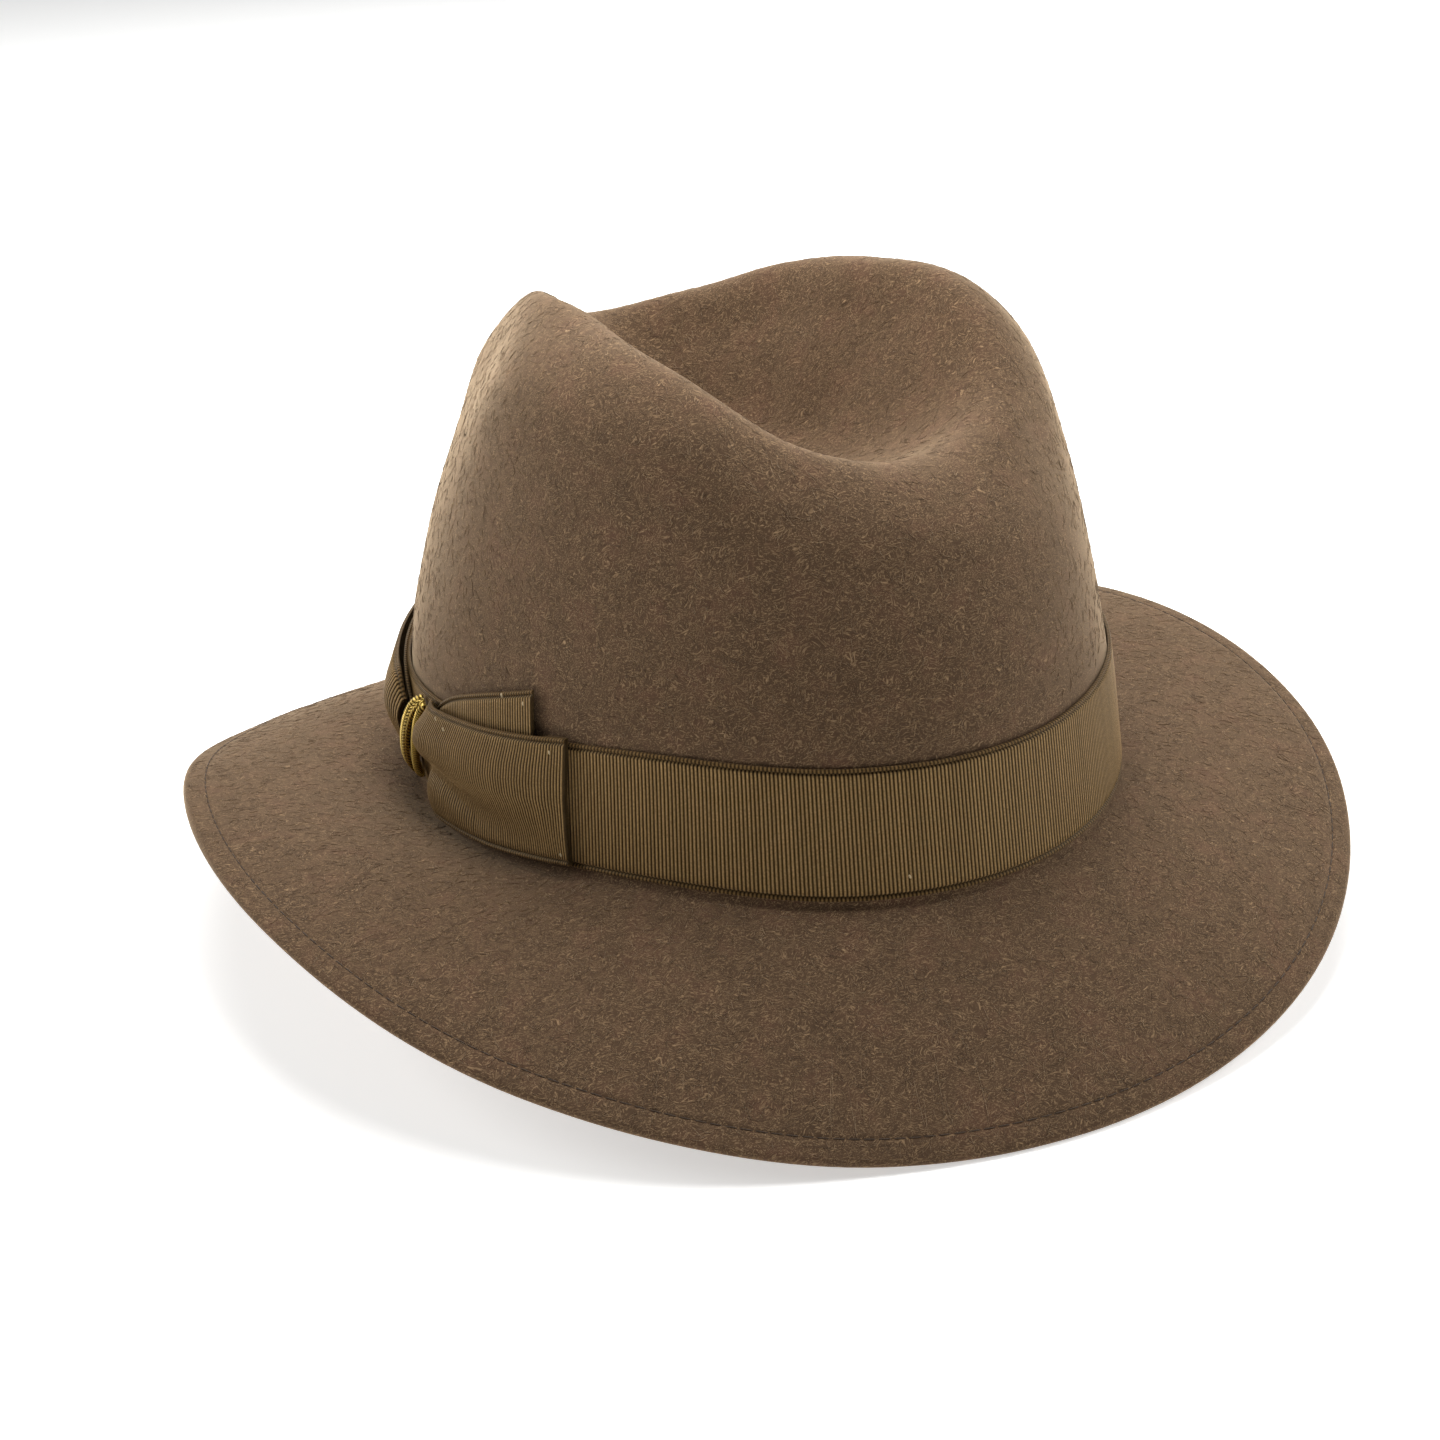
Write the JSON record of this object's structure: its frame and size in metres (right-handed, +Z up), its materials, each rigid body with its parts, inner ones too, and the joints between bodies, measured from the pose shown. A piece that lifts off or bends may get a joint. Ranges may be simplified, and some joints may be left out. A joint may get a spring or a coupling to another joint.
{
  "type": "traveller hat",
  "caption": "Creased felt hat with a drooping brim, a ribbed ribbon band and a side bow wound with gold cord, open underneath for the head.",
  "frame": {"origin": "on the surface that the brim rests on, under the middle of the whole hat", "axes": "+Z up, -Y towards the front of the hat, +X towards the wearer's left, where the bow is"},
  "size_m": [0.2995, 0.3151, 0.16],
  "materials": {
    "felt": "brown fur felt with a short soft nap",
    "ribbon": "olive brown grosgrain ribbon, satin sheen on its ribs",
    "gold_cord": "gold metal thread wound on a cord"
  },
  "bodies": {
    "root": {"felt_body": "felt", "ribbon_band": "ribbon", "bow_rear_wing": "ribbon", "bow_upper_tail": "ribbon", "bow_front_loop": "ribbon", "bow_knot": "gold_cord"}
  },
  "joints": []
}
